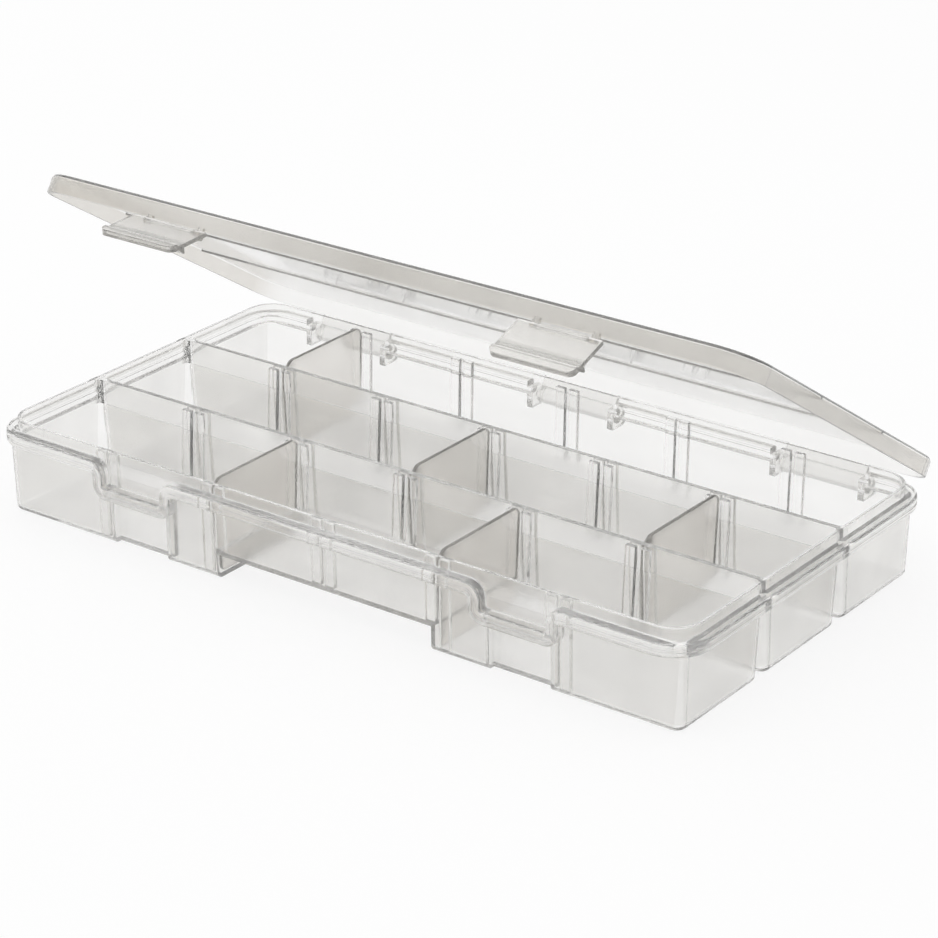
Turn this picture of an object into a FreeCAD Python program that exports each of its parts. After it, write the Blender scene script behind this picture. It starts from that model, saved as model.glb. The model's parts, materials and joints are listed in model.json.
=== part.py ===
# Compartment storage box: a tray with three rows, a hinged lid, two snap latches and five
# removable cross dividers. Millimetres, X along the box, +Y towards the hinges, +Z up.
# The origin is the middle of the underside.
import FreeCAD, Part
import math
import os

# Tray walls
lip_length = 346.0           # outer length at the top edge
lip_depth = 176.0            # outer depth at the top edge
tray_height = 43.0
wall = 1.4
floor_thickness = 1.6
base_inset = 0.8             # how far an outer wall draws in from lip to base
lip_corner_radius = 13.0
body_corner_radius = 5.0     # upright corners below the flange
base_round = 2.6             # outer radius along the bottom edges
lip_round = 0.4

# Rows, and the hollow partitions between them
partition_top = 2.2
partition_lean = 2.4         # how far a partition face leans out from lip to base
partition_drop = 0.8         # partition tops below the lip
partition_web = 12.0         # depth below the lip where the hollow of a partition is closed
row_corner_radius = 3.0

# Removable dividers and the slots that hold them
divider_thickness = 1.6
slot_clearance = 0.3         # on each face of a divider
divider_end_gap = 0.3        # between a divider's end and the bottom of its slot
divider_corner = 5.0
divider_rise = 0.8           # divider tops above the lip
bays_per_row = 6
rib_width = 4.6
rib_proud = 2.0
rib_drop = 2.0               # rib tops below the lip

# Finger recess under the middle of the front row
recess_height = 11.0

# Flange round the tray
flange_overhang = 5.0
flange_drop = 4.5            # flange top below the lip
flange_height = 6.0
flange_round = 1.4
groove_height = 1.0
groove_depth = 0.5

# Where the flange dips under a latch, and the wall below is set back
dip_width = 37.0             # between the middle lines of a dip's two sides
dip_depth = 11.0
dip_bend = 4.0               # radius of the flange's middle line
setback_width = 30.0
setback_depth = 5.0

# Hinges along the back
hinge_end = 24.0             # end of the lip to the nearest hinge
hinge_count = 3
hinge_pocket = 46.0          # gap in the flange, over both ears
hinge_out = 1.35             # hinge line beyond the flange's edge
hinge_drop = 12.0            # hinge line below the lip
ear_thickness = 3.0
ear_radius = 4.6
barrel_radius = 3.7
barrel_gap = 0.3             # between a barrel's end and its ear
pin_radius = 1.9
pin_clearance = 0.05
leaf_thickness = 2.6

# Lid
lid_wall = 1.4
lid_rise = 4.3               # lid top above the lip
lid_round = 2.0
lid_seat_gap = 0.3           # skirt above the flange when shut
lid_edge = 0.5               # radius along the skirt's lower edges
lid_bead = 0.8               # radius of the two beads along the underside

# Latches
latch_width = 39.0
latch_length = 25.5          # tip below the skirt when shut
latch_thickness = 1.8
latch_gap = 0.5              # plate clear of the flange
latch_axis_in = 1.4          # latch pivot behind the flange's front
latch_axis_drop = 2.3        # latch pivot below the skirt
latch_barrel_radius = 1.7
latch_pin_radius = 0.9
latch_plate_drop = 1.8       # top of the plate below the pivot
latch_corner = 3.0
cheek_thickness = 2.4
cheek_gap = 0.6              # cheek clear of the flange dip
barb_bite = 2.0              # overlap of the barb and the flange
barb_gap = 0.45              # barb below the flange
barb_height = 3.4
barb_land = 0.8              # blunt end of the barb
grip_height = 4.0
grip_proud = 1.0

# Rest pose, in degrees from shut
lid_open = 32.6
latch_open = {"latch_left": 54.5, "latch_right": 37.5}

# Where the dividers stand: row, and slot counted from the middle of the box
divider_places = {
    "divider_front_left": ("front", -1),
    "divider_front_right": ("front", 1),
    "divider_middle_left": ("middle", 0),
    "divider_middle_right": ("middle", 2),
    "divider_back": ("back", -2),
}

# Sizes that follow from those above
row_width = (lip_depth - 2 * wall - 2 * partition_top) / 3
partition_y = (row_width + partition_top) / 2
slot_pitch = lip_length / bays_per_row
slot_width = divider_thickness + 2 * slot_clearance
recess_half = slot_pitch - slot_width / 2 - wall

flange_x = lip_length / 2 + flange_overhang
flange_y = lip_depth / 2 + flange_overhang
flange_radius = lip_corner_radius + flange_overhang
flange_top = tray_height - flange_drop
flange_bottom = flange_top - flange_height
corner_step = flange_top - wall
dip_half = dip_width / 2
dip_bottom = flange_bottom - dip_depth
setback_half = setback_width / 2
latch_x = 2 * slot_pitch - slot_width / 2 - wall - setback_half

hinge_x = lip_length / 2 - hinge_end - hinge_pocket / 2
hinge_y = flange_y + hinge_out
hinge_z = tray_height - hinge_drop
barrel_half = hinge_pocket / 2 - ear_thickness - barrel_gap

skirt_bottom = flange_top + lid_seat_gap
lid_top = tray_height + lid_rise
lid_underside = lid_top - lid_wall

latch_y = latch_axis_in - flange_y
latch_z = skirt_bottom - latch_axis_drop
plate_inner = -flange_y - latch_gap
plate_outer = plate_inner - latch_thickness
plate_tip = skirt_bottom - latch_length
cheek_outer = dip_half - flange_height / 2 - cheek_gap
cheek_inner = cheek_outer - cheek_thickness
latch_barrel_half = cheek_inner - barrel_gap

along_x = FreeCAD.Vector(1, 0, 0)
opening_axis = FreeCAD.Vector(-1, 0, 0)


def vec(x, y, z):
    return FreeCAD.Vector(x, y, z)


def box(x0, x1, y0, y1, z0, z1):
    """Box between two corners."""
    return Part.makeBox(x1 - x0, y1 - y0, z1 - z0, vec(x0, y0, z0))


def rod(radius, x0, x1, y, z):
    """Cylinder along X."""
    return Part.makeCylinder(radius, x1 - x0, vec(x0, y, z), along_x)


def plate_yz(points, x0, x1):
    """Solid with a straight-sided outline in Y and Z, from x0 to x1."""
    corners = [vec(x0, y, z) for y, z in points]
    outline = Part.makePolygon(corners + corners[:1])
    return Part.Face(outline).extrude(vec(x1 - x0, 0, 0))


def round_rect(x_half, y0, y1, z, front_radius, back_radius):
    """Closed wire of a rectangle at height z, with a radius for the front and the back corners."""
    arcs = []
    for x_sign, y_sign, start in ((-1, -1, 180), (1, -1, 270), (1, 1, 0), (-1, 1, 90)):
        radius = front_radius if y_sign < 0 else back_radius
        centre_x = x_sign * (x_half - radius)
        centre_y = y0 + radius if y_sign < 0 else y1 - radius
        points = []
        for turn in (0, 45, 90):
            angle = math.radians(start + turn)
            points.append(vec(centre_x + radius * math.cos(angle), centre_y + radius * math.sin(angle), z))
        arcs.append(Part.Arc(*points).toShape())
    edges = []
    for arc, following in zip(arcs, arcs[1:] + arcs[:1]):
        edges.append(arc)
        edges.append(Part.makeLine(arc.Vertexes[-1].Point, following.Vertexes[0].Point))
    return Part.Wire(edges)


def round_block(x_half, y_half, radius, z0, z1):
    """Upright block with round corners, centred on the origin."""
    outline = round_rect(x_half, -y_half, y_half, z0, radius, radius)
    return Part.Face(outline).extrude(vec(0, 0, z1 - z0))


def level_edges(shape, z):
    """Edges that lie at height z."""
    found = []
    for edge in shape.Edges:
        if all(abs(vertex.Z - z) < 1e-6 for vertex in edge.Vertexes):
            found.append(edge)
    return found


def wall_half(size, z):
    """Half an outer size of the tray at height z: the walls draw in evenly towards the base."""
    return size / 2 - base_inset * (tray_height - z) / tray_height


def partition_half(z):
    """Half the distance between two rows at height z."""
    return partition_top / 2 + partition_lean * (tray_height - z) / tray_height


def row_faces(row, z):
    """Y of a row's front and back faces at height z."""
    outer = wall_half(lip_depth, z) - wall
    near = partition_y - partition_half(z)
    far = partition_y + partition_half(z)
    return {"front": (-outer, -far), "middle": (-near, near), "back": (far, outer)}[row]


def row_space(row, bottom, skin):
    """Space of a row from height bottom up to the lip, grown all round by skin.

    The box's own corners take the body's radius below the flange and the lip's radius above it.
    """
    inner_radius = row_corner_radius + skin
    stages = []
    for low, high, corner in (
        (bottom, corner_step, body_corner_radius),
        (corner_step, tray_height, lip_corner_radius),
    ):
        outer_radius = corner - wall + skin
        front_radius = outer_radius if row == "front" else inner_radius
        back_radius = outer_radius if row == "back" else inner_radius
        sections = []
        for z in (low, high):
            y0, y1 = row_faces(row, z)
            x_half = wall_half(lip_length, z) - wall + skin
            sections.append(round_rect(x_half, y0 - skin, y1 + skin, z, front_radius, back_radius))
        stages.append(Part.makeLoft(sections, True, True))
    lower = stages[0].makeFillet(base_round - wall + skin, level_edges(stages[0], bottom))
    return lower.fuse(stages[1])


def recess_space(skin, roof):
    """Finger recess under the front row, grown by skin at its sides and by roof above."""
    half = recess_half + skin
    return box(-half, half, -flange_y, -partition_y, -wall, recess_height + roof)


def setback_space(x, skin):
    """Space under the flange's dip at x, where the front wall is set back."""
    half = setback_half + skin
    back = setback_depth - lip_depth / 2 + skin
    return box(x - half, x + half, -flange_y, back, -wall, dip_bottom + skin)


def latch_places():
    """X of each latch: the wall set back below it is one side of an outer slot."""
    return {"latch_left": -latch_x, "latch_right": latch_x}


def hinge_places():
    """X of the hinges, spread evenly between the two outer ones."""
    step = 2 * hinge_x / (hinge_count - 1)
    return [index * step - hinge_x for index in range(hinge_count)]


def slot_places():
    """X of the slots along a row."""
    reach = bays_per_row // 2 - 1
    return [step * slot_pitch for step in range(-reach, reach + 1)]


def flange_ring():
    """Flange all round, with round edges, a groove, and gaps for the latches and hinges."""
    ring = round_block(flange_x, flange_y, flange_radius, flange_bottom, flange_top)
    ring = ring.makeFillet(flange_round, level_edges(ring, flange_bottom) + level_edges(ring, flange_top))
    middle = (flange_bottom + flange_top) / 2
    low = middle - groove_height / 2
    high = middle + groove_height / 2
    band = round_block(flange_x + wall, flange_y + wall, flange_radius + wall, low, high)
    core_radius = flange_radius - groove_depth
    core = round_block(flange_x - groove_depth, flange_y - groove_depth, core_radius, low, high)
    gaps = [band.cut(core)]
    dip_reach = dip_half + dip_bend
    for x in latch_places().values():
        gaps.append(box(x - dip_reach, x + dip_reach, -flange_y, -lip_depth / 2, flange_bottom, flange_top))
    for x in hinge_places():
        half = hinge_pocket / 2
        gaps.append(box(x - half, x + half, lip_depth / 2, flange_y, flange_bottom, flange_top))
    return ring.cut(gaps)


def flange_section(x):
    """Cross-section of the front flange at x, with its round edges and groove."""
    middle = (flange_bottom + flange_top) / 2
    half = flange_height / 2
    root = wall - lip_depth / 2
    bend = flange_round * (1 - math.sqrt(0.5))

    def at(inward, up):
        return vec(x, inward - flange_y, middle + up)

    root_in = root + flange_y
    corners = [
        at(0, flange_round - half),
        at(0, -groove_height / 2),
        at(groove_depth, -groove_height / 2),
        at(groove_depth, groove_height / 2),
        at(0, groove_height / 2),
        at(0, half - flange_round),
    ]
    edges = [Part.makeLine(at(root_in, -half), at(flange_round, -half))]
    edges.append(Part.Arc(at(flange_round, -half), at(bend, bend - half), corners[0]).toShape())
    for start, end in zip(corners, corners[1:]):
        edges.append(Part.makeLine(start, end))
    edges.append(Part.Arc(corners[-1], at(bend, half - bend), at(flange_round, half)).toShape())
    edges.append(Part.makeLine(at(flange_round, half), at(root_in, half)))
    edges.append(Part.makeLine(at(root_in, half), at(root_in, -half)))
    return Part.Wire(edges)


def flange_dip(x):
    """Stretch of the front flange that dips under the latch at x: the section carried along a U."""
    high = (flange_bottom + flange_top) / 2
    low = high - dip_depth
    slant = dip_bend * math.sqrt(0.5)

    def at(offset, z):
        return vec(x + offset, -flange_y, z)

    def bend(sign):
        """The two arcs and the upright between them on one side, from the outside in."""
        outside = sign * (dip_half + dip_bend)
        upright = sign * dip_half
        inside = sign * (dip_half - dip_bend)
        upper = Part.Arc(at(outside, high), at(outside - sign * slant, high - dip_bend + slant),
                         at(upright, high - dip_bend)).toShape()
        lower = Part.Arc(at(upright, low + dip_bend), at(inside + sign * slant, low + dip_bend - slant),
                         at(inside, low)).toShape()
        straight = Part.makeLine(at(upright, high - dip_bend), at(upright, low + dip_bend))
        return [upper, straight, lower]

    bar = Part.makeLine(at(dip_bend - dip_half, low), at(dip_half - dip_bend, low))
    path = Part.Wire(Part.__sortEdges__(bend(-1) + [bar] + bend(1)))
    shell = Part.BRepOffsetAPI.MakePipeShell(path)
    shell.setBiNormalMode(vec(0, 1, 0))
    shell.add(flange_section(x - dip_half - dip_bend))
    shell.build()
    shell.makeSolid()
    return Part.Solid(shell.shape())


def hinge_ears(x):
    """Two bored ears at the ends of the hinge pocket at x."""
    ears = []
    for start in (x - hinge_pocket / 2, x + hinge_pocket / 2 - ear_thickness):
        end = start + ear_thickness
        root = box(start, end, lip_depth / 2 - wall, hinge_y, hinge_z - ear_radius, hinge_z + ear_radius)
        ear = root.fuse(rod(ear_radius, start, end, hinge_y, hinge_z))
        ears.append(ear.cut(rod(pin_radius + pin_clearance, start, end, hinge_y, hinge_z)))
    return ears


def slot_ribs(row):
    """Pairs of upright ribs on both faces of a row; each pair leaves a slot for a divider."""
    ribs = []
    bottom = floor_thickness / 2
    top = tray_height - rib_drop
    inner = slot_width / 2
    outer = inner + rib_width
    for side, inward in ((0, 1), (1, -1)):
        outline = []
        for z in (bottom, top):
            face = row_faces(row, z)[side]
            ends = [(face - inward * wall / 2, z), (face + inward * rib_proud, z)]
            outline.extend(ends if z == bottom else ends[::-1])
        for x in slot_places():
            ribs.append(plate_yz(outline, x - outer, x - inner))
            ribs.append(plate_yz(outline, x + inner, x + outer))
    return ribs


def make_tray():
    rows = ("front", "middle", "back")
    pods = [row_space(row, 0, wall) for row in rows]
    web_bottom = tray_height - partition_web
    rim_sections = []
    for z in (web_bottom, tray_height):
        depth = wall_half(lip_depth, z)
        rim_sections.append(round_rect(wall_half(lip_length, z), -depth, depth, z,
                                       lip_corner_radius, lip_corner_radius))
    solids = pods[1:] + [Part.makeLoft(rim_sections, True, True), flange_ring()]
    solids.extend(flange_dip(x) for x in latch_places().values())
    for x in hinge_places():
        solids.extend(hinge_ears(x))
    outside = pods[0].fuse(solids)

    spaces = [row_space(row, floor_thickness, 0) for row in rows]
    steps = [recess_space(wall, floor_thickness)]
    steps.extend(setback_space(x, wall) for x in latch_places().values())
    spaces[0] = spaces[0].cut(steps)
    mouth = round_block(lip_length / 2 - wall, lip_depth / 2 - wall, lip_corner_radius - wall,
                        tray_height - partition_drop, tray_height + wall)
    shell = outside.cut(spaces + [mouth])

    ribs = []
    for row in rows:
        ribs.extend(slot_ribs(row))
    under = [recess_space(0, 0)]
    under.extend(setback_space(x, 0) for x in latch_places().values())
    tray = shell.fuse(ribs).cut(under).removeSplitter()
    return tray.makeFillet(lip_round, level_edges(tray, tray_height))


def round_corners(plate, radius, z):
    """Rounds a divider's two corners at height z."""
    corners = [edge for edge in level_edges(plate, z) if abs(edge.Length - divider_thickness) < 1e-6]
    return plate.makeFillet(radius, corners)


def make_divider(row, slot):
    """Plate that narrows downwards like the middle row, with round corners, standing in a slot."""
    y0, y1 = row_faces(row, tray_height)
    middle = (y0 + y1) / 2
    top = tray_height + divider_rise
    top_half = row_faces("middle", top)[1] - divider_end_gap
    base_half = row_faces("middle", floor_thickness)[1] - divider_end_gap
    x = slot * slot_pitch - divider_thickness / 2
    outline = [
        (middle - base_half, floor_thickness),
        (middle + base_half, floor_thickness),
        (middle + top_half, top),
        (middle - top_half, top),
    ]
    plate = plate_yz(outline, x, x + divider_thickness)
    return round_corners(round_corners(plate, divider_corner, top), base_round, floor_thickness)


def hinge_leaf(x):
    """Leaf, barrel and two end pins that hang the lid at x."""
    skirt_inner = flange_y - lid_wall
    half_leaf = leaf_thickness / 2
    outline = [
        (skirt_inner, skirt_bottom + lid_wall),
        (flange_y, skirt_bottom + lid_wall),
        (flange_y, skirt_bottom),
        (hinge_y + half_leaf, hinge_z),
        (hinge_y - half_leaf, hinge_z),
        (skirt_inner, skirt_bottom),
    ]
    leaf = plate_yz(outline, x - barrel_half, x + barrel_half)
    barrel = rod(barrel_radius, x - barrel_half, x + barrel_half, hinge_y, hinge_z)
    pin_half = hinge_pocket / 2 - barrel_gap
    return leaf.fuse([barrel, rod(pin_radius, x - pin_half, x + pin_half, hinge_y, hinge_z)])


def latch_cheeks(x):
    """Two bored cheeks below the skirt that carry the latch at x."""
    cheeks = []
    radius = latch_barrel_radius
    for start in (x - cheek_outer, x + cheek_inner):
        end = start + cheek_thickness
        root = box(start, end, -flange_y, latch_y + radius, latch_z, skirt_bottom + lid_wall)
        cheek = root.fuse(rod(radius, start, end, latch_y, latch_z))
        cheeks.append(cheek.cut(rod(latch_pin_radius + pin_clearance, start, end, latch_y, latch_z)))
    return cheeks


def make_lid():
    outside = round_block(flange_x, flange_y, flange_radius, skirt_bottom, lid_top)
    outside = outside.makeFillet(lid_round, level_edges(outside, lid_top))
    inside = round_block(flange_x - lid_wall, flange_y - lid_wall, flange_radius - lid_wall,
                         skirt_bottom - lid_wall, lid_underside)
    shell = outside.cut(inside)
    shell = shell.makeFillet(lid_edge, level_edges(shell, skirt_bottom))
    solids = []
    bead_half = flange_x - lid_wall / 2
    for y in (-partition_y, partition_y):
        solids.append(rod(lid_bead, -bead_half, bead_half, y, lid_underside))
    for x in hinge_places():
        solids.append(hinge_leaf(x))
    for x in latch_places().values():
        solids.extend(latch_cheeks(x))
    return shell.fuse(solids).removeSplitter()


def make_latch(x):
    """Latch plate with its barrel and pins above, a barb inside and a grip at the tip, in the shut pose."""
    half = latch_width / 2
    plate_top = latch_z - latch_plate_drop
    plate = box(x - half, x + half, plate_outer, plate_inner, plate_tip, plate_top)
    grip = box(x - half, x + half, plate_outer - grip_proud, plate_outer, plate_tip, plate_tip + grip_height)
    plate = plate.fuse(grip).removeSplitter()
    tips = [edge for edge in level_edges(plate, plate_tip) if abs(edge.Vertexes[0].X - edge.Vertexes[-1].X) < 1e-6]
    plate = plate.makeFillet(latch_corner, tips)
    crank = plate_yz([
        (latch_y - latch_barrel_radius, latch_z),
        (latch_y, latch_z - latch_barrel_radius),
        (plate_inner, plate_top - latch_thickness),
        (plate_outer, plate_top - latch_thickness),
        (plate_outer, plate_top),
        (plate_inner, plate_top),
    ], x - latch_barrel_half, x + latch_barrel_half)
    barb_top = dip_bottom - barb_gap
    barb = plate_yz([
        (plate_inner, barb_top),
        (barb_bite - flange_y, barb_top),
        (barb_bite - flange_y, barb_top - barb_land),
        (plate_inner, barb_top - barb_height),
    ], x - half, x + half)
    barrel = rod(latch_barrel_radius, x - latch_barrel_half, x + latch_barrel_half, latch_y, latch_z)
    pin_half = cheek_outer
    pin = rod(latch_pin_radius, x - pin_half, x + pin_half, latch_y, latch_z)
    return plate.fuse([crank, barb, barrel, pin]).removeSplitter()


def lifted(shape):
    """Turns a piece of the shut lid to the lid's rest pose."""
    shape.rotate(vec(0, hinge_y, hinge_z), opening_axis, lid_open)
    return shape


def make_parts():
    nodes = {"tray": make_tray(), "lid": lifted(make_lid())}
    for name, x in latch_places().items():
        latch = make_latch(x)
        latch.rotate(vec(x, latch_y, latch_z), opening_axis, latch_open[name])
        nodes[name] = lifted(latch)
    for name, (row, slot) in divider_places.items():
        nodes[name] = make_divider(row, slot)
    return nodes


os.makedirs("parts", exist_ok=True)
for name, shape in make_parts().items():
    shape.exportStep("parts/" + name + ".step")
    print(name, "solids", len(shape.Solids), "valid", shape.isValid(), "volume", round(shape.Volume))
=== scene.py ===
"""Dresses the compartment storage box in translucent moulded plastic and sets it on a pale stage.

The tray, lid and latches keep their solids and get a finish each. The loose dividers are built here as
plates with round edges. All sizes are in metres, in the frame of the solids: X along the box, +Y to the
hinges, +Z up.
"""

import json
import math

import bpy
import numpy as np
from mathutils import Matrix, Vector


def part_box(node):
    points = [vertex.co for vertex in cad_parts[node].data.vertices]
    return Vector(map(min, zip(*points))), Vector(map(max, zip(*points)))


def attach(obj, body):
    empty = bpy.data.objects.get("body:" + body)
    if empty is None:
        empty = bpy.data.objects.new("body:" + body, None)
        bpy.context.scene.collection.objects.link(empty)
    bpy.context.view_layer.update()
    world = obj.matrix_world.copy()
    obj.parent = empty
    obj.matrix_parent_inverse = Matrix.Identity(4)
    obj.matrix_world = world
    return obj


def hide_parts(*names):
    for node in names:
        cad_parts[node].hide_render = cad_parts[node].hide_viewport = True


bl_info = {
    "name": "Compartment Storage Box",
    "version": (1, 0, 0),
    "blender": (4, 5, 0),
    "location": "3D View > Sidebar > Box",
    "description": "Finishes, dividers and stage of a compartment storage box",
    "category": "Object",
}

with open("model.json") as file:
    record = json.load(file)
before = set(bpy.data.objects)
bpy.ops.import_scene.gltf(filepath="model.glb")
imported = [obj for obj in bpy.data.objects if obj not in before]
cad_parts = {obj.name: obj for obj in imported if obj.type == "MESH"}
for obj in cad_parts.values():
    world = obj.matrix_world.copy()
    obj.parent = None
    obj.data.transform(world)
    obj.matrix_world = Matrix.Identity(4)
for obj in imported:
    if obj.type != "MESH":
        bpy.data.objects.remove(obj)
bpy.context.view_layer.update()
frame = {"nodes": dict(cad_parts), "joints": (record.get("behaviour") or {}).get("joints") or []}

PICTURE_SIDE = 938          # pixels along each side of the square picture
DIVIDERS = sorted(name for name in frame["nodes"] if name.startswith("divider_"))
LATCHES = ("latch_left", "latch_right")
REFRACTION = 1.49           # of polypropylene

# Pattern in the plastic: noise scales are per metre, heights in metres
NOISE_BAND = (0.3, 0.7)     # stretch of the noise that is used
STREAK_SCALE = 70.0
STREAK_STRETCH = 0.25       # noise scale along the flow, as a share of that across it
STREAK_LIGHT = (0.975, 1.01)
GLOSS_SCALE = 45.0
GLOSS_SPREAD = (0.7, 1.3)   # least and most roughness, as shares of the set one
WAVE_SCALE = 30.0
WAVE_HEIGHT = 0.0008
GRAIN_SCALE = 1100.0
GRAIN_HEIGHT = 0.0001

# Steps in the dividers' mesh
CORNER_STEPS = 8            # points along a corner of the outline
EDGE_STEPS = 5              # rings along a round edge
CAP_SHARES = (0.35, 0.7)    # rings on a face, as shares of its outline

# Sight lines cross many clear walls, so light paths are long.
CLEAR_BOUNCES = 64
OTHER_BOUNCES = 24
SENSOR_WIDTH = 36.0         # of the camera, in millimetres


def colour_setting(name, description, default):
    """Colour property."""
    return bpy.props.FloatVectorProperty(name=name, description=description, subtype="COLOR", size=3,
                                         min=0.0, max=1.0, default=default)


def share_setting(name, description, default):
    """Property from 0 to 1."""
    return bpy.props.FloatProperty(name=name, description=description, subtype="FACTOR", min=0.0, max=1.0,
                                   default=default)


def length_setting(name, description, default):
    """Property in metres."""
    return bpy.props.FloatProperty(name=name, description=description, unit="LENGTH", default=default)


def depth_setting(name, description, default):
    """Property of how fast plastic darkens on the way through it, per metre."""
    return bpy.props.FloatProperty(name=name, description=description, min=0.0, default=default)


class BoxPlastic(bpy.types.PropertyGroup):
    """Tint, clearness, gloss and depth of each moulding's plastic."""

    tray_colour: colour_setting("Tray tint", "Colour left by one wall of the tray", (0.99, 0.986, 0.976))
    tray_clearness: share_setting("Tray clearness", "Share of light that goes straight on in the tray", 0.98)
    tray_roughness: share_setting("Tray roughness", "How blurred the tray's gloss is", 0.14)
    tray_depth: depth_setting("Tray depth", "How fast the tray's plastic darkens, per metre", 1.5)

    lid_colour: colour_setting("Lid tint", "Colour left by one wall of the lid", (0.992, 0.987, 0.977))
    lid_clearness: share_setting("Lid clearness", "Share of light that goes straight on in the lid", 0.98)
    lid_roughness: share_setting("Lid roughness", "How blurred the lid's gloss is", 0.09)
    lid_depth: depth_setting("Lid depth", "How fast the lid's plastic darkens, per metre", 16.0)

    latch_colour: colour_setting("Latch tint", "Colour left by one wall of a latch", (0.975, 0.963, 0.94))
    latch_clearness: share_setting("Latch clearness", "Share of light that goes straight on in a latch", 0.97)
    latch_roughness: share_setting("Latch roughness", "How blurred a latch's gloss is", 0.16)
    latch_depth: depth_setting("Latch depth", "How fast a latch's plastic darkens, per metre", 40.0)

    divider_colour: colour_setting("Divider tint", "Colour of the frosted dividers", (1.0, 0.975, 0.945))
    divider_clearness: share_setting("Divider clearness", "Share of light that goes straight on in a divider",
                                     0.88)
    divider_roughness: share_setting("Divider roughness", "How frosted a divider is", 0.14)
    divider_depth: depth_setting("Divider depth", "How fast a divider's plastic darkens, per metre", 8.0)

    depth_tint: colour_setting("Depth tint", "Colour that a long way inside the plastic turns to",
                               (0.52, 0.51, 0.49))


class BoxPaintedShade(bpy.types.PropertyGroup):
    """Zones of the tray, lid and latches with painted shade in their colour, and duller than the rest."""

    # Painted shade: the tray's front and ends are darkened in colour as if in shade from light behind the box
    tray_shade: colour_setting("Outside shade", "Colour left by the tray's front and ends, besides its tint",
                               (0.9, 0.895, 0.885))
    tray_dull: share_setting("Outside dullness", "Roughness that the tray's front and ends have on top", 0.06)
    tray_end: length_setting("Tray end", "Middle of the tray to just inside the outer face of an end", 0.1718)
    tray_front: length_setting("Tray front", "Middle of the tray to just inside its front face", 0.0868)
    tray_flange: length_setting("Tray flange", "Underside of the tray's flange", 0.0325)
    # Painted shade: the lid's skirt and beads are darkened in colour as if in shade below the plate
    lid_shade: colour_setting("Skirt shade", "Colour left by the lid's skirt and beads, on top of its tint",
                              (0.86, 0.842, 0.812))
    lid_dull: share_setting("Skirt dullness", "Roughness that the lid's skirt and beads have on top", 0.12)
    lid_plate: length_setting("Lid plate", "Underside of the lid's plate above the hinge line, shut", 0.0146)
    lid_back: length_setting("Lid back", "Hinge line to where the lid's shade begins", 0.004)
    lid_fade: length_setting("Lid fade", "Length over which the lid's shade grows", 0.016)
    # Painted shade: a grey band across each latch over its barb, as if shaded there
    latch_shade: colour_setting("Barb shade", "Colour left by a latch over its barb, on top of its tint",
                                (0.8, 0.8, 0.79))
    latch_dull: share_setting("Barb dullness", "Roughness that a latch has on top over its barb", 0.1)
    latch_band: length_setting("Barb band", "Pivot of a latch to the middle of its barb", 0.0171)
    latch_band_half: length_setting("Barb band half", "Half the breadth of the zone over the barb", 0.0025)


class BoxDivider(bpy.types.PropertyGroup):
    """Shape of a loose divider, beyond the size of its solid."""

    lean: length_setting("Lean", "How far each end draws in from top to bottom", 0.00236)
    top_corner: length_setting("Top corner", "Radius of the two upper corners", 0.005)
    foot_corner: length_setting("Foot corner", "Radius of the two lower corners", 0.0026)
    edge: length_setting("Edge", "Radius along the plate's edges", 0.0006)
    foot_gap: length_setting("Foot gap", "Air between a divider and the floor", 0.00005)


class BoxStage(bpy.types.PropertyGroup):
    """Camera, lamps and floor."""

    azimuth: bpy.props.FloatProperty(
        name="Azimuth", description="Camera's turn round the box, from the front", subtype="ANGLE",
        default=math.radians(36.433))
    elevation: bpy.props.FloatProperty(
        name="Elevation", description="Camera's angle above the level", subtype="ANGLE",
        default=math.radians(23.948))
    distance: length_setting("Distance", "Camera to the middle of the lip", 1.3531)
    slide: bpy.props.FloatVectorProperty(
        name="Slide", description="Camera moved to its right and upwards", subtype="TRANSLATION", size=2,
        default=(0.007455, -0.009087))
    lens_pixels: bpy.props.FloatProperty(
        name="Lens", description="Focal length in pixels of the square picture", default=3227.112)
    lip_height: length_setting("Lip height", "Height of the tray's lip", 0.043)
    floor_side: length_setting("Floor", "Side of the square floor", 9.0)
    floor_drop: length_setting("Floor drop", "Air between the box and the floor", 0.0002)
    floor_colour: colour_setting("Floor colour", "Colour of the floor", (0.93, 0.93, 0.93))
    floor_glow: share_setting("Floor glow", "Share of plain white in the floor as it is seen", 0.85)
    key_watts: bpy.props.FloatProperty(
        name="Key lamp", description="Power of the large lamp overhead", unit="POWER", default=18.0)
    key_size: bpy.props.FloatVectorProperty(
        name="Key size", description="Sides of the large lamp", unit="LENGTH", size=2, default=(2.8, 2.4))
    key_place: bpy.props.FloatVectorProperty(
        name="Key place", description="Where the large lamp hangs", subtype="TRANSLATION", size=3,
        default=(-0.3, -0.1, 1.6))
    key_tilt: bpy.props.FloatProperty(
        name="Key tilt", description="Turn of the large lamp about Y", subtype="ANGLE",
        default=math.radians(-10.0))
    room: bpy.props.FloatProperty(
        name="Room light", description="Strength of the light from all round", default=1.0)
    ceiling: share_setting("Ceiling", "Light from overhead as a share of the light from the sides", 0.75)
    ceiling_start: share_setting("Ceiling start", "Rise of a direction where the ceiling begins", 0.25)
    ceiling_full: share_setting("Ceiling full", "Rise of a direction where the ceiling is full", 0.6)


def noise(nodes, links, vector, scale, detail=3.0):
    """Noise texture on a vector socket."""
    node = nodes.new("ShaderNodeTexNoise")
    node.inputs["Scale"].default_value = scale
    node.inputs["Detail"].default_value = detail
    links.new(vector, node.inputs["Vector"])
    return node.outputs["Fac"]


def remap(nodes, links, value, start, end, low, high):
    """Maps start..end of a value to low..high, and keeps to these limits."""
    node = nodes.new("ShaderNodeMapRange")
    for socket, number in (("From Min", start), ("From Max", end), ("To Min", low), ("To Max", high)):
        node.inputs[socket].default_value = number
    links.new(value, node.inputs["Value"])
    return node.outputs["Result"]


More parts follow.
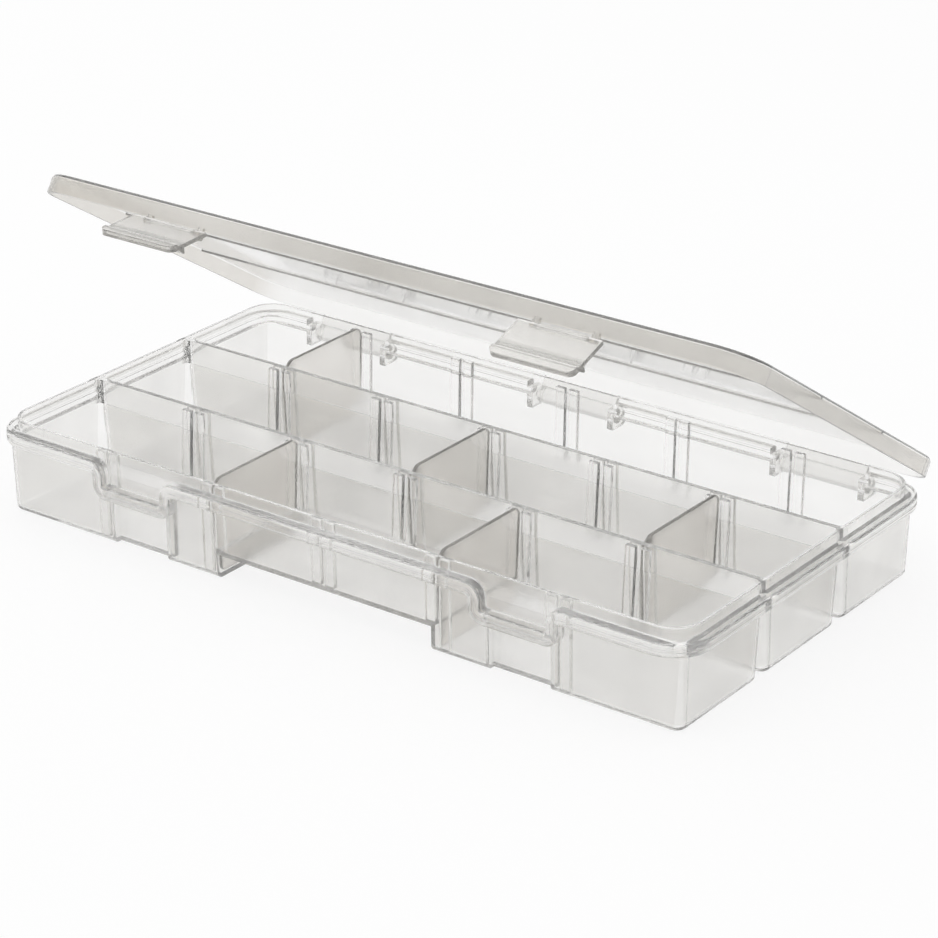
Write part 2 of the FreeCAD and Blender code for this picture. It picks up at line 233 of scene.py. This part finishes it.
def scalar(nodes, links, operation, value, *numbers):
    """Math node of a value socket and numbers."""
    node = nodes.new("ShaderNodeMath")
    node.operation = operation
    links.new(value, node.inputs[0])
    for socket, number in zip(node.inputs[1:], numbers):
        socket.default_value = number
    return node.outputs["Value"]


def combine(nodes, links, operation, first, second):
    """Math node of two value sockets."""
    node = nodes.new("ShaderNodeMath")
    node.operation = operation
    links.new(first, node.inputs[0])
    links.new(second, node.inputs[1])
    return node.outputs["Value"]


def vector(nodes, links, operation, value, *constants):
    """Vector math node of a vector socket and constant vectors."""
    node = nodes.new("ShaderNodeVectorMath")
    node.operation = operation
    links.new(value, node.inputs[0])
    for socket, constant in zip(node.inputs[1:], constants):
        socket.default_value = constant
    return node


def bump(nodes, links, height, strength, distance, below=None):
    """Bump from a height socket, on top of another bump's normal."""
    node = nodes.new("ShaderNodeBump")
    node.inputs["Strength"].default_value = strength
    node.inputs["Distance"].default_value = distance
    links.new(height, node.inputs["Height"])
    if below is not None:
        links.new(below, node.inputs["Normal"])
    return node.outputs["Normal"]


def joint(name):
    """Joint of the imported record."""
    return next(item for item in frame["joints"] if item["name"] == name)


# Mask of the painted shade on the tray's front and ends.
def outside_wall(nodes, links, place, shade):
    """1 on the outside of the tray's front and end walls below the flange, 0 elsewhere."""
    parts = nodes.new("ShaderNodeSeparateXYZ")
    links.new(place, parts.inputs["Vector"])
    aside = scalar(nodes, links, "ABSOLUTE", parts.outputs["X"])
    end = scalar(nodes, links, "GREATER_THAN", aside, shade.tray_end)
    front = scalar(nodes, links, "LESS_THAN", parts.outputs["Y"], -shade.tray_front)
    below = scalar(nodes, links, "LESS_THAN", parts.outputs["Z"], shade.tray_flange)
    either = combine(nodes, links, "MAXIMUM", end, front)
    return combine(nodes, links, "MULTIPLY", either, below)


# Mask of the painted shade on the lid's skirt and beads.
def below_lid_plate(nodes, links, place, shade):
    """1 on the lid's skirt, beads and cheeks, 0 on its plate, fading to 0 along its back."""
    hinge = joint("lid_hinge")
    opened = math.radians(-hinge["range_deg"][0])
    offset = vector(nodes, links, "SUBTRACT", place, hinge["pos_m"]).outputs["Vector"]
    upright = (0.0, math.sin(opened), math.cos(opened))
    forward = (0.0, -math.cos(opened), math.sin(opened))
    height = vector(nodes, links, "DOT_PRODUCT", offset, upright).outputs["Value"]
    reach = vector(nodes, links, "DOT_PRODUCT", offset, forward).outputs["Value"]
    below = scalar(nodes, links, "LESS_THAN", height, shade.lid_plate)
    grown = remap(nodes, links, reach, shade.lid_back, shade.lid_back + shade.lid_fade, 0.0, 1.0)
    return combine(nodes, links, "MULTIPLY", below, grown)


# Mask of the painted shade band on the latches.
def over_barb(nodes, links, place, shade):
    """1 where a latch is as far from its pivot as the barb, 0 elsewhere.

    Both latches have their pivots on one line along X.
    """
    pivot = joint("latch_left_hinge")["pos_m"]
    offset = vector(nodes, links, "SUBTRACT", place, pivot).outputs["Vector"]
    across = vector(nodes, links, "MULTIPLY", offset, (0.0, 1.0, 1.0)).outputs["Vector"]
    reach = vector(nodes, links, "LENGTH", across).outputs["Value"]
    return scalar(nodes, links, "COMPARE", reach, shade.latch_band, shade.latch_band_half)


def moulded_plastic(plastic, piece, streak_axis, waves, grain, zone=None, shade=None):
    """Translucent moulded plastic: faint flow streaks in the tint, uneven gloss, soft waves and a fine grain.

    Light that goes a long way inside it is taken off, so edges and thick spots look greyer than plain walls.
    Where the zone function gives 1, painted shade darkens the tint and the plastic is duller.
    """
    material = bpy.data.materials.new(piece + "_plastic")
    material.use_nodes = True
    nodes, links = material.node_tree.nodes, material.node_tree.links
    shader = next(node for node in nodes if node.type == "BSDF_PRINCIPLED")
    colour = getattr(plastic, piece + "_colour")
    roughness = getattr(plastic, piece + "_roughness")
    place = nodes.new("ShaderNodeTexCoord").outputs["Object"]

    stretch = nodes.new("ShaderNodeMapping")
    scales = [STREAK_STRETCH if axis == streak_axis else 1.0 for axis in range(3)]
    stretch.inputs["Scale"].default_value = scales
    links.new(place, stretch.inputs["Vector"])
    tints = nodes.new("ShaderNodeValToRGB")
    for stop, position, light in zip(tints.color_ramp.elements, NOISE_BAND, STREAK_LIGHT):
        stop.position = position
        stop.color = (*(min(1.0, light * part) for part in colour), 1.0)
    links.new(noise(nodes, links, stretch.outputs["Vector"], STREAK_SCALE), tints.inputs["Fac"])
    tint = tints.outputs["Color"]
    gloss = noise(nodes, links, place, GLOSS_SCALE)
    rough = remap(nodes, links, gloss, *NOISE_BAND, *(roughness * share for share in GLOSS_SPREAD))

    # Painted shade: the zone multiplies the tint by the piece's shade colour.
    if zone is not None:
        inside = zone(nodes, links, place, shade)
        painted_shade = nodes.new("ShaderNodeMix")
        painted_shade.data_type = "RGBA"
        painted_shade.blend_type = "MULTIPLY"
        painted_shade.inputs["B"].default_value = (*getattr(shade, piece + "_shade"), 1.0)
        links.new(inside, painted_shade.inputs["Factor"])
        links.new(tint, painted_shade.inputs["A"])
        tint = painted_shade.outputs["Result"]
        duller = scalar(nodes, links, "MULTIPLY", inside, getattr(shade, piece + "_dull"))
        rough = combine(nodes, links, "ADD", rough, duller)
    links.new(tint, shader.inputs["Base Color"])
    links.new(rough, shader.inputs["Roughness"])
    soft = bump(nodes, links, noise(nodes, links, place, WAVE_SCALE, detail=1.0), waves, WAVE_HEIGHT)
    fine = bump(nodes, links, noise(nodes, links, place, GRAIN_SCALE, detail=2.0), grain, GRAIN_HEIGHT, soft)
    links.new(fine, shader.inputs["Normal"])
    shader.inputs["Transmission Weight"].default_value = getattr(plastic, piece + "_clearness")
    shader.inputs["IOR"].default_value = REFRACTION

    depth = nodes.new("ShaderNodeVolumeAbsorption")
    depth.inputs["Color"].default_value = (*plastic.depth_tint, 1.0)
    depth.inputs["Density"].default_value = getattr(plastic, piece + "_depth")
    out = next(node for node in nodes if node.type == "OUTPUT_MATERIAL")
    links.new(depth.outputs["Volume"], out.inputs["Volume"])
    return material


def dress(node_names, material):
    """Gives solids one material in place of their plain ones."""
    for name in node_names:
        slots = frame["nodes"][name].data.materials
        slots.clear()
        slots.append(material)


def mesh_piece(name, points, faces, body, material):
    """Object at the origin from arrays of points and faces, smooth shaded, riding on a body."""
    mesh = bpy.data.meshes.new(name)
    mesh.from_pydata(points.tolist(), [], faces)
    mesh.validate()
    mesh.polygons.foreach_set("use_smooth", np.ones(len(mesh.polygons), dtype=bool))
    mesh.update()
    mesh.materials.append(material)
    piece = bpy.data.objects.new(name, mesh)
    bpy.context.scene.collection.objects.link(piece)
    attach(piece, body)
    return piece


def plate_outline(foot_half, top_half, foot_z, top_z, foot_radius, top_radius):
    """Centres, radii and outward directions of a round-cornered outline in Y and Z, as whole arrays.

    Each corner is an arc about a fixed centre, so the outline drawn in by d is
    centre + (radius - d) * direction.
    """
    corners = np.array([(-foot_half, foot_z), (foot_half, foot_z), (top_half, top_z), (-top_half, top_z)])
    radii = np.array([foot_radius, foot_radius, top_radius, top_radius])
    ahead = np.roll(corners, -1, axis=0) - corners
    ahead /= np.linalg.norm(ahead, axis=1)[:, None]
    behind = np.roll(ahead, 1, axis=0)
    out_before = np.stack([behind[:, 1], -behind[:, 0]], axis=1)
    out_after = np.stack([ahead[:, 1], -ahead[:, 0]], axis=1)
    bisector = out_before + out_after
    bisector /= np.linalg.norm(bisector, axis=1)[:, None]
    half_angle = np.sum(bisector * out_after, axis=1)
    centres = corners - bisector * (radii / half_angle)[:, None]
    share = np.linspace(0.0, 1.0, CORNER_STEPS)[None, :, None]
    ways = out_before[:, None, :] * (1.0 - share) + out_after[:, None, :] * share
    ways /= np.linalg.norm(ways, axis=2)[:, :, None]
    return np.repeat(centres, CORNER_STEPS, axis=0), np.repeat(radii, CORNER_STEPS), ways.reshape(-1, 2)


def ring_faces(rings, count):
    """Quads between following rings of count points, closed round, plus fans to a first and a last pole."""
    index = np.arange(count)
    following = np.roll(index, -1)
    low = 1 + np.arange(rings - 1)[:, None] * count
    high = low + count
    quads = np.stack([low + index, low + following, high + following, high + index], axis=2).reshape(-1, 4)
    last_pole = 1 + rings * count
    top = last_pole - count
    first_fan = np.stack([np.zeros(count, dtype=int), following + 1, index + 1], axis=1)
    last_fan = np.stack([np.full(count, last_pole), top + index, top + following], axis=1)
    return quads.tolist() + first_fan.tolist() + last_fan.tolist()


def divider_plate(node, shape):
    """Plate with quarter-round edges: the outline carried through the thickness.

    Through the thickness the outline is drawn in by edge * (1 - sin t) while x runs edge * (1 - cos t) from
    the first face, t from 0 to a right angle; the far face mirrors it. Each face closes on rings shrunk to a
    pole.
    """
    low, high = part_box(node)
    middle = (low + high) / 2
    half = (high.x - low.x) / 2
    foot = low.z + shape.foot_gap
    top_half = (high.y - low.y) / 2
    centres, radii, ways = plate_outline(top_half - shape.lean, top_half, foot, high.z,
                                         shape.foot_corner, shape.top_corner)
    turn = np.linspace(0.0, math.pi / 2, EDGE_STEPS)
    inset = shape.edge * (1.0 - np.sin(turn))
    across = shape.edge * (1.0 - np.cos(turn)) - half
    inset = np.concatenate([inset, inset[::-1]])
    across = np.concatenate([across, -across[::-1]])
    sides = centres[None] + (radii[None, :, None] - inset[:, None, None]) * ways[None]
    hub = np.array([0.0, (foot + high.z) / 2])
    shrink = np.array(CAP_SHARES)[:, None, None]
    near_cap = hub + shrink * (sides[0] - hub)
    far_cap = hub + shrink[::-1] * (sides[-1] - hub)
    flat = np.concatenate([near_cap, sides, far_cap])
    cap_depth = np.full(len(CAP_SHARES), half)
    depth = np.concatenate([-cap_depth, across, cap_depth])
    rings, count = flat.shape[:2]
    points = np.empty((rings, count, 3))
    points[..., 0] = middle.x + depth[:, None]
    points[..., 1] = middle.y + flat[..., 0]
    points[..., 2] = flat[..., 1]
    poles = np.array([[middle.x - half, middle.y, hub[1]], [middle.x + half, middle.y, hub[1]]])
    points = np.concatenate([poles[:1], points.reshape(-1, 3), poles[1:]])
    return points, ring_faces(rings, count)


class BOX_OT_tray_finish(bpy.types.Operator):
    """Clear, slightly milky plastic on the tray, with painted shade on its front and ends"""

    bl_idname = "box.tray_finish"
    bl_label = "Tray finish"

    def execute(self, context):
        scene = context.scene
        plastic = moulded_plastic(scene.box_plastic, "tray", streak_axis=0, waves=0.1, grain=0.05,
                                  zone=outside_wall, shade=scene.box_shade)
        dress(["tray"], plastic)
        return {"FINISHED"}


class BOX_OT_lid_finish(bpy.types.Operator):
    """Clear plastic with a light haze on the lid, with painted shade on its skirt and beads"""

    bl_idname = "box.lid_finish"
    bl_label = "Lid finish"

    def execute(self, context):
        scene = context.scene
        plastic = moulded_plastic(scene.box_plastic, "lid", streak_axis=0, waves=0.01, grain=0.02,
                                  zone=below_lid_plate, shade=scene.box_shade)
        dress(["lid"], plastic)
        return {"FINISHED"}


class BOX_OT_latch_finish(bpy.types.Operator):
    """Denser plastic on both latches, with a painted shade band over their barbs"""

    bl_idname = "box.latch_finish"
    bl_label = "Latch finish"

    def execute(self, context):
        scene = context.scene
        plastic = moulded_plastic(scene.box_plastic, "latch", streak_axis=0, waves=0.04, grain=0.05,
                                  zone=over_barb, shade=scene.box_shade)
        dress(LATCHES, plastic)
        return {"FINISHED"}


class BOX_OT_dividers(bpy.types.Operator):
    """Frosted plates with round edges in place of the divider solids"""

    bl_idname = "box.dividers"
    bl_label = "Dividers"

    def execute(self, context):
        frosted = moulded_plastic(context.scene.box_plastic, "divider", streak_axis=2, waves=0.06, grain=0.12)
        for node in DIVIDERS:
            points, faces = divider_plate(node, context.scene.box_divider)
            piece = mesh_piece(node + "_plate", points, faces, "tray", frosted)
            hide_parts(node)
        return {"FINISHED"}


def studio_world(stage):
    """Soft light from all round, weaker overhead; plain white where the camera sees it."""
    world = bpy.data.worlds.new("studio")
    bpy.context.scene.world = world
    world.use_nodes = True
    nodes, links = world.node_tree.nodes, world.node_tree.links
    nodes.clear()
    way = nodes.new("ShaderNodeTexCoord").outputs["Generated"]
    parts = nodes.new("ShaderNodeSeparateXYZ")
    links.new(way, parts.inputs["Vector"])
    level = remap(nodes, links, parts.outputs["Z"], stage.ceiling_start, stage.ceiling_full,
                  stage.room, stage.room * stage.ceiling)
    room = nodes.new("ShaderNodeBackground")
    links.new(level, room.inputs["Strength"])
    plain = nodes.new("ShaderNodeBackground")
    plain.inputs["Color"].default_value = (1.0, 1.0, 1.0, 1.0)
    path = nodes.new("ShaderNodeLightPath")
    mix = nodes.new("ShaderNodeMixShader")
    links.new(path.outputs["Is Camera Ray"], mix.inputs["Fac"])
    links.new(room.outputs["Background"], mix.inputs[1])
    links.new(plain.outputs["Background"], mix.inputs[2])
    out = nodes.new("ShaderNodeOutputWorld")
    links.new(mix.outputs["Shader"], out.inputs["Surface"])


def floor_material(colour, glow):
    """Pale floor: partly plain white where it is seen directly, in gloss or through plastic, else lit."""
    material = bpy.data.materials.new("floor_white")
    material.use_nodes = True
    nodes, links = material.node_tree.nodes, material.node_tree.links
    nodes.clear()
    matt = nodes.new("ShaderNodeBsdfDiffuse")
    matt.inputs["Color"].default_value = (*colour, 1.0)
    white = nodes.new("ShaderNodeEmission")
    path = nodes.new("ShaderNodeLightPath")
    seen = path.outputs["Is Camera Ray"]
    for kind in ("Is Glossy Ray", "Is Transmission Ray"):
        seen = combine(nodes, links, "MAXIMUM", seen, path.outputs[kind])
    mix = nodes.new("ShaderNodeMixShader")
    links.new(scalar(nodes, links, "MULTIPLY", seen, glow), mix.inputs["Fac"])
    links.new(matt.outputs["BSDF"], mix.inputs[1])
    links.new(white.outputs["Emission"], mix.inputs[2])
    out = nodes.new("ShaderNodeOutputMaterial")
    links.new(mix.outputs["Shader"], out.inputs["Surface"])
    return material


def lay_floor(scene, stage):
    """Square floor just under the box."""
    half = stage.floor_side / 2
    mesh = bpy.data.meshes.new("floor")
    mesh.from_pydata([(-half, -half, 0.0), (half, -half, 0.0), (half, half, 0.0), (-half, half, 0.0)],
                     [], [(0, 1, 2, 3)])
    mesh.materials.append(floor_material(stage.floor_colour, stage.floor_glow))
    floor = bpy.data.objects.new("floor", mesh)
    floor.location.z = -stage.floor_drop
    scene.collection.objects.link(floor)


def hang_key_lamp(scene, stage):
    """Large soft lamp overhead, a little to the left."""
    lamp = bpy.data.lights.new("key", "AREA")
    lamp.shape = "RECTANGLE"
    lamp.size, lamp.size_y = stage.key_size
    lamp.energy = stage.key_watts
    key = bpy.data.objects.new("key", lamp)
    key.location = stage.key_place
    key.rotation_euler = (0.0, stage.key_tilt, 0.0)
    scene.collection.objects.link(key)


def set_camera(scene, stage):
    """Level camera on a ball round the middle of the lip, looking at it, then slid in its own plane."""
    turn, rise = stage.azimuth, stage.elevation
    back = np.array([math.sin(turn) * math.cos(rise), -math.cos(turn) * math.cos(rise), math.sin(rise)])
    right = np.array([math.cos(turn), math.sin(turn), 0.0])
    up = np.cross(back, right)
    place = right * stage.slide[0] + up * stage.slide[1] + back * stage.distance
    place[2] += stage.lip_height
    lens = bpy.data.cameras.new("camera")
    lens.sensor_fit = "HORIZONTAL"
    lens.sensor_width = SENSOR_WIDTH
    lens.lens = lens.sensor_width * stage.lens_pixels / PICTURE_SIDE
    camera = bpy.data.objects.new("camera", lens)
    camera.location = place
    camera.rotation_euler = (math.pi / 2 - rise, 0.0, turn)
    scene.collection.objects.link(camera)
    scene.camera = camera


class BOX_OT_stage(bpy.types.Operator):
    """Pale floor, soft light and the camera"""

    bl_idname = "box.stage"
    bl_label = "Stage"

    def execute(self, context):
        scene = context.scene
        stage = scene.box_stage
        lay_floor(scene, stage)
        studio_world(stage)
        hang_key_lamp(scene, stage)
        set_camera(scene, stage)
        scene.view_settings.view_transform = "Standard"
        scene.cycles.max_bounces = CLEAR_BOUNCES
        scene.cycles.transmission_bounces = CLEAR_BOUNCES
        scene.cycles.diffuse_bounces = OTHER_BOUNCES
        scene.cycles.glossy_bounces = OTHER_BOUNCES
        return {"FINISHED"}


class BOX_PT_panel(bpy.types.Panel):
    """Lists the steps that dress the box"""

    bl_idname = "BOX_PT_panel"
    bl_label = "Compartment Storage Box"
    bl_space_type = "VIEW_3D"
    bl_region_type = "UI"
    bl_category = "Box"

    def draw(self, context):
        for step in STEPS:
            self.layout.operator(step.bl_idname)


STEPS = (BOX_OT_tray_finish, BOX_OT_lid_finish, BOX_OT_latch_finish, BOX_OT_dividers, BOX_OT_stage)
SETTINGS = {
    "box_plastic": BoxPlastic,
    "box_shade": BoxPaintedShade,
    "box_divider": BoxDivider,
    "box_stage": BoxStage,
}
CLASSES = (*SETTINGS.values(), *STEPS, BOX_PT_panel)


def register():
    """Adds the classes and puts the settings on every scene."""
    for cls in CLASSES:
        bpy.utils.register_class(cls)
    for name, group in SETTINGS.items():
        setattr(bpy.types.Scene, name, bpy.props.PointerProperty(type=group))


def unregister():
    """Takes the settings and classes away again."""
    for name in SETTINGS:
        delattr(bpy.types.Scene, name)
    for cls in reversed(CLASSES):
        bpy.utils.unregister_class(cls)


def main():
    """Runs the steps in order."""
    register()
    bpy.ops.box.tray_finish()
    bpy.ops.box.lid_finish()
    bpy.ops.box.latch_finish()
    bpy.ops.box.dividers()
    bpy.ops.box.stage()


if __name__ == "__main__":
    main()
